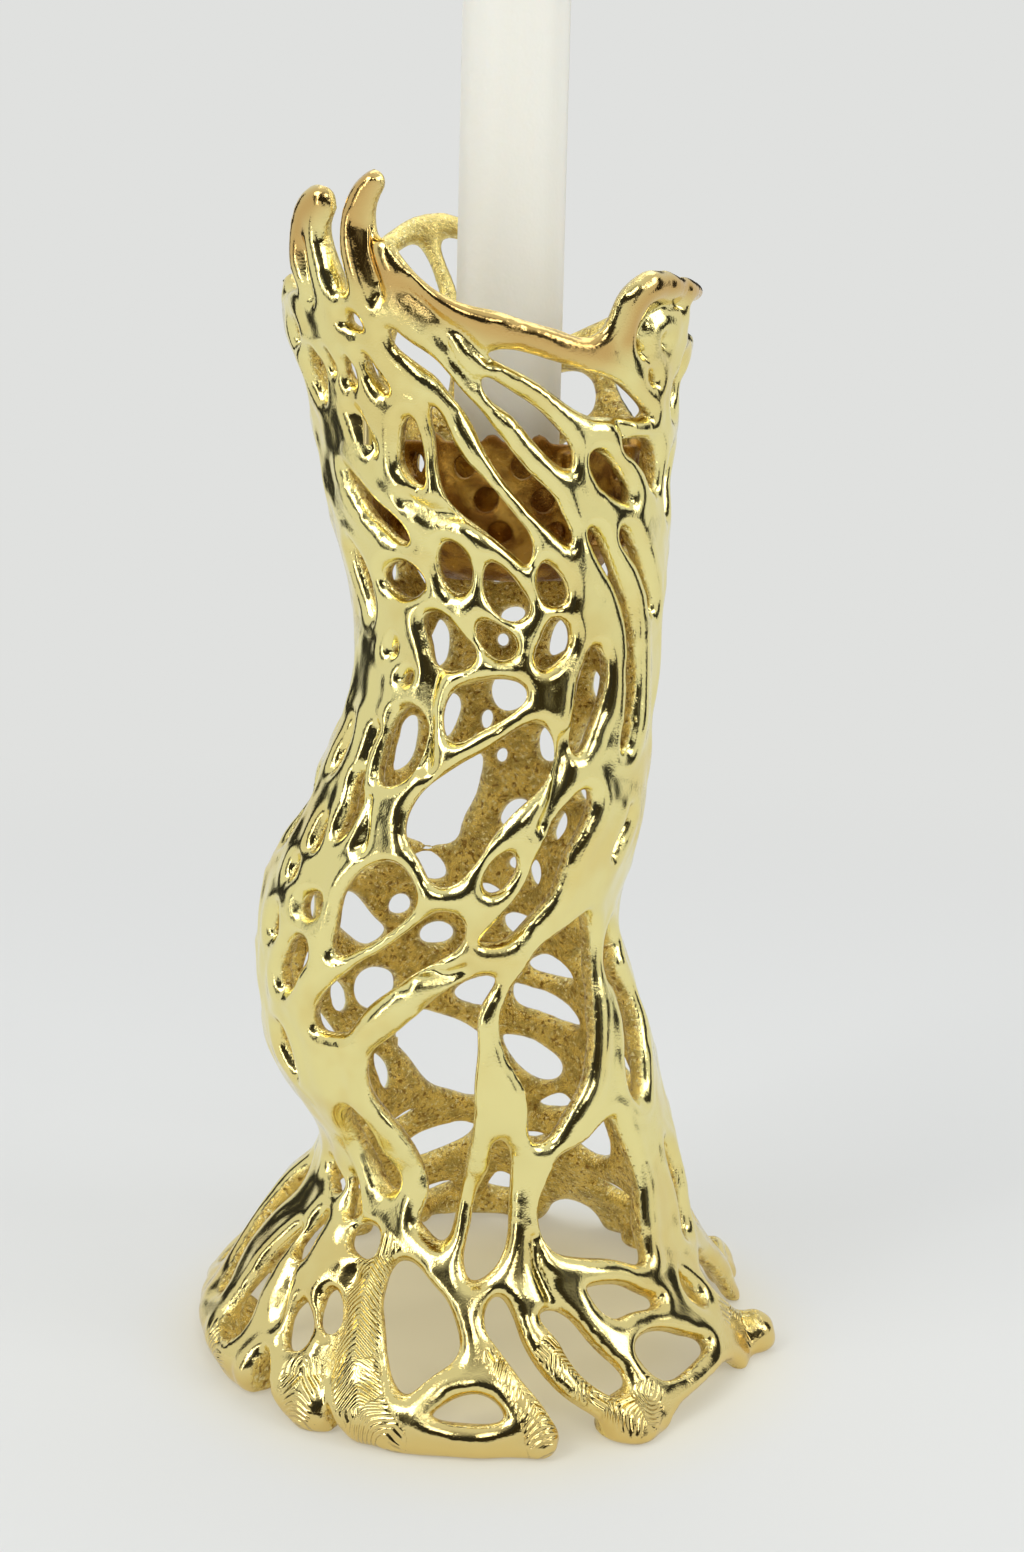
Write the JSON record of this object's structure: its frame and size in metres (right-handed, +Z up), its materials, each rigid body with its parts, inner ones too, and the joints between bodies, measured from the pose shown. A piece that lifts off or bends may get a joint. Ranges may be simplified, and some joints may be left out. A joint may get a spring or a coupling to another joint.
{
  "type": "candle holder",
  "caption": "Cast metal lattice candle holder: a swaying openwork column on a flared foot of toes, with a crown of curled fingers round a pierced cup that holds a straight candle.",
  "frame": {"origin": "on the surface it stands on, under the middle of the foot", "axes": "+Z up along the candle, -Y towards the front, +X to the right"},
  "size_m": [0.125, 0.1206, 0.4265],
  "materials": {
    "polished_brass": "polished pale gold, with rough amber openings and rosy tips",
    "rough_brass": "rough as-cast deep amber",
    "pin_brass": "plain drawn",
    "candle_wax": "smooth ivory wax",
    "wick_cotton": "plaited"
  },
  "bodies": {
    "holder": {"foot_casting": "polished_brass", "lower_column": "polished_brass", "upper_column": "polished_brass", "crown_casting": "polished_brass", "foot_joint_pins": "pin_brass", "waist_joint_pins": "pin_brass", "crown_joint_pins": "pin_brass", "candle_cup": "rough_brass", "candle_socket": "rough_brass"},
    "candle": {"candle": "candle_wax", "wick": "wick_cotton"}
  },
  "joints": [
    {"name": "candle_lift", "type": "slide", "parent": "holder", "child": "candle", "axis": [0, 0, 1], "range_m": [0, 0.08]}
  ]
}
